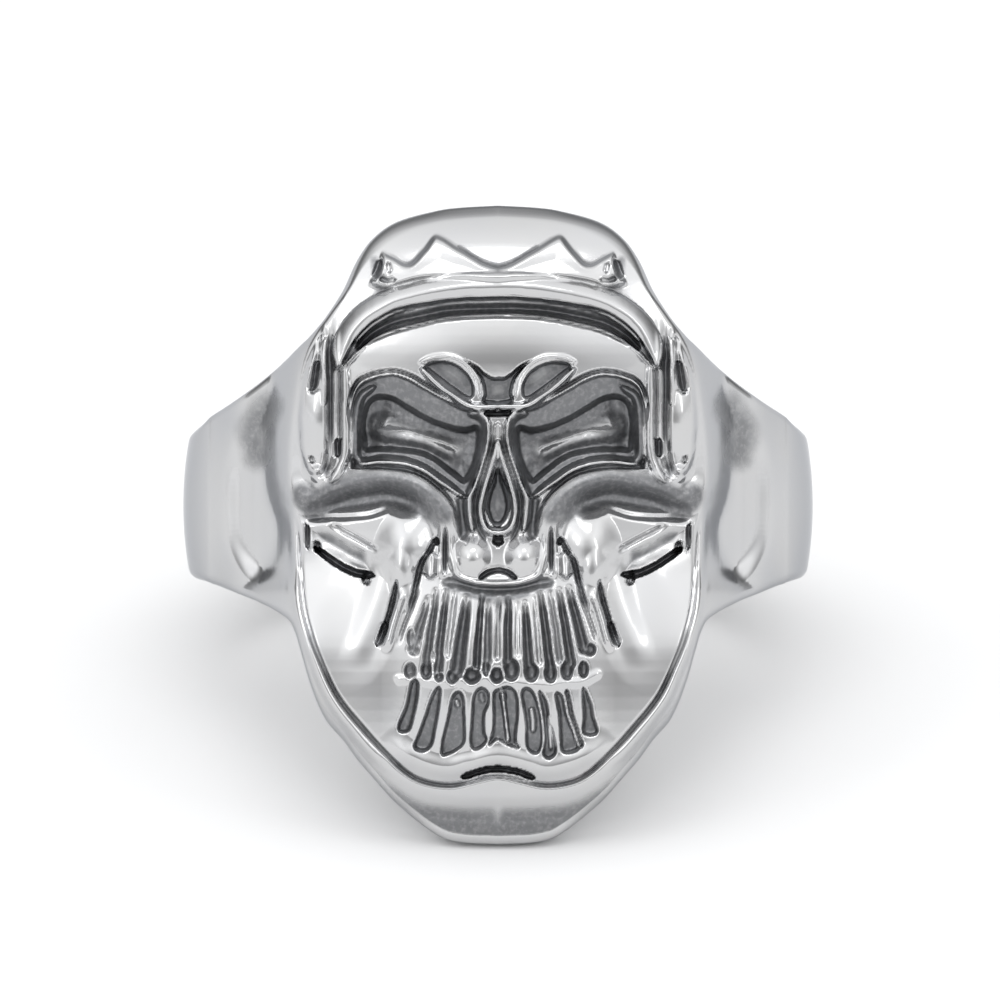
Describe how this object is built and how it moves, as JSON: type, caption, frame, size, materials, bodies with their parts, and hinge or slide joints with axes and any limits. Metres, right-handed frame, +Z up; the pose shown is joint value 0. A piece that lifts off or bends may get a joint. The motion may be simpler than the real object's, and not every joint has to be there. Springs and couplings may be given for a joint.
{
  "type": "skull ring",
  "caption": "Heavy cast finger ring with a scowling skull mask over its front, shown lying on its chin and band.",
  "frame": {"origin": "centre of the bounding box's underside, on the surface the ring lies on", "axes": "+Z up, -Y the way the skull faces (it looks up by its lean), +X the viewer's right"},
  "size_m": [0.0254, 0.0294, 0.0234],
  "materials": {
    "steel": "mirror-polished steel with darkened recesses"
  },
  "bodies": {
    "root": {"skull_ring": "steel"}
  },
  "joints": []
}
